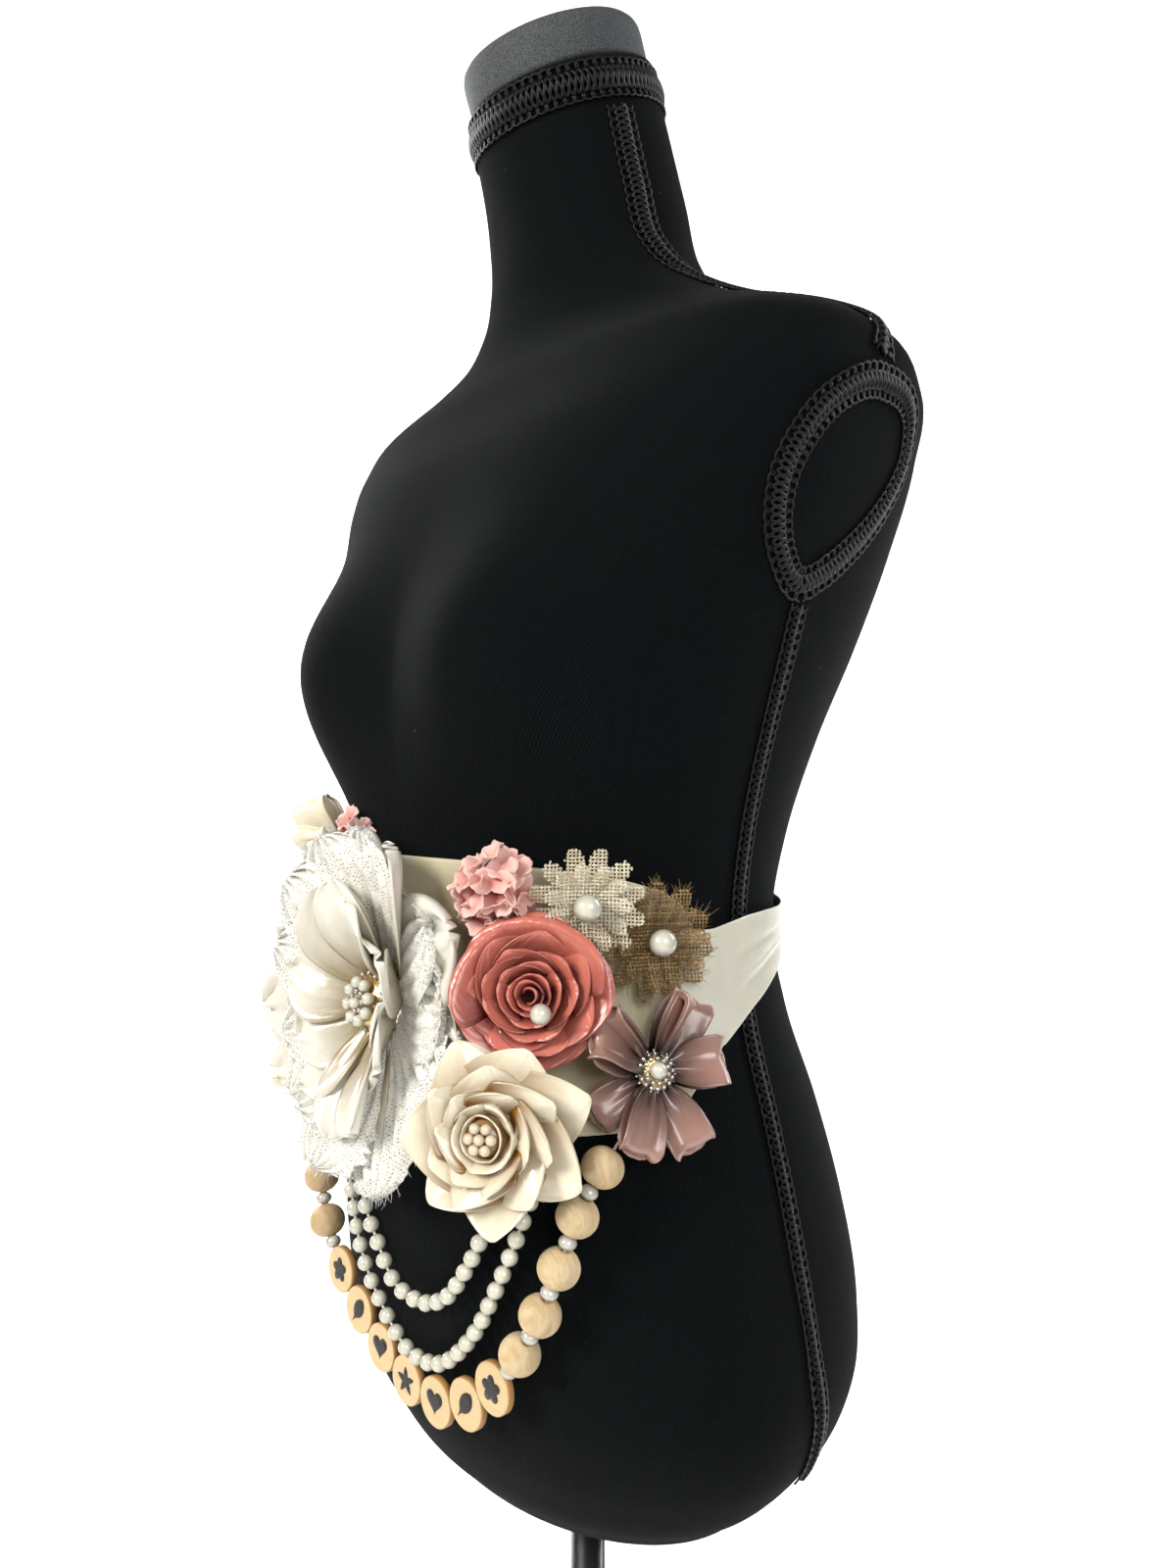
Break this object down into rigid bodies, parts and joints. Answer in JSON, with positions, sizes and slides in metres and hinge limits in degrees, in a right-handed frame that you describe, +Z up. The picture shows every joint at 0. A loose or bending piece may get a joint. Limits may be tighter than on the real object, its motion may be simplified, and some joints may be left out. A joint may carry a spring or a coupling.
{
  "type": "maternity sash on a dress form",
  "caption": "Flower-covered satin and felt belly sash with pearl and wood bead strands, worn on a black limbless dress form on a pole and round base.",
  "frame": {"origin": "centre of the base's flat underside, on the floor, on the pole's axis", "axes": "+Z up along the pole; the form faces -Y, and its left side is +X"},
  "size_m": [0.3566, 0.3242, 1.5316],
  "materials": {
    "form_cloth": "matt black jersey knit",
    "trim_braid": "black gimp braid",
    "neck_cap": "charcoal cloth-covered neck cap",
    "stand_metal": "black paint, satin",
    "wool_felt": "cream wool felt, matt",
    "ivory_satin": "ivory satin ribbon",
    "white_satin": "white satin",
    "white_lace": "white lace with a metallic thread",
    "coral_satin": "coral satin",
    "mauve_satin": "dusty mauve satin",
    "cream_satin": "cream satin",
    "pink_chiffon": "pink crinkled chiffon",
    "cream_burlap": "cream open-weave burlap",
    "tan_burlap": "tan open-weave burlap",
    "pearl": "pearl lustre",
    "gem": "stones in a pale gold setting",
    "wood": "bare turned wood, satin",
    "birch": "sealed birch"
  },
  "bodies": {
    "root": {"armhole_braid_left": "trim_braid", "armhole_braid_right": "trim_braid", "base": "stand_metal", "big_flower_cluster": "pearl", "big_flower_inner_petals": "white_satin", "big_flower_lace": "white_lace", "big_flower_satin_back": "white_satin", "burlap_daisy_cream": "cream_burlap", "burlap_daisy_cream_pearl": "pearl", "burlap_daisy_tan": "tan_burlap", "burlap_daisy_tan_pearl": "pearl", "felt_band": "wool_felt", "flower_mauve_far_gem": "gem", "flower_mauve_far_petals": "mauve_satin", "flower_mauve_gem": "gem", "flower_mauve_petals": "mauve_satin", "hydrangea_pink": "pink_chiffon", "hydrangea_pink_far": "pink_chiffon", "neck_braid": "trim_braid", "neck_cap": "neck_cap", "pearl_strand_inner": "pearl", "pearl_strand_outer": "pearl", "pole": "stand_metal", "ribbon_knot": "ivory_satin", "ribbon_left": "ivory_satin", "ribbon_loops_ivory": "cream_satin", "ribbon_loops_pearl": "pearl", "ribbon_right": "ivory_satin", "ribbon_tail_left": "ivory_satin", "ribbon_tail_right": "ivory_satin", "rose_coral_heart": "coral_satin", "rose_coral_pearl": "pearl", "rose_coral_petals": "coral_satin", "rose_ivory_cluster": "pearl", "rose_ivory_heart": "cream_satin", "rose_ivory_petals": "cream_satin", "shoulder_braid_left": "trim_braid", "shoulder_braid_right": "trim_braid", "side_braid_left": "trim_braid", "side_braid_right": "trim_braid", "torso": "form_cloth", "wood_discs": "birch", "wood_strand_left_side": "wood", "wood_strand_right_side": "wood"}
  },
  "joints": []
}
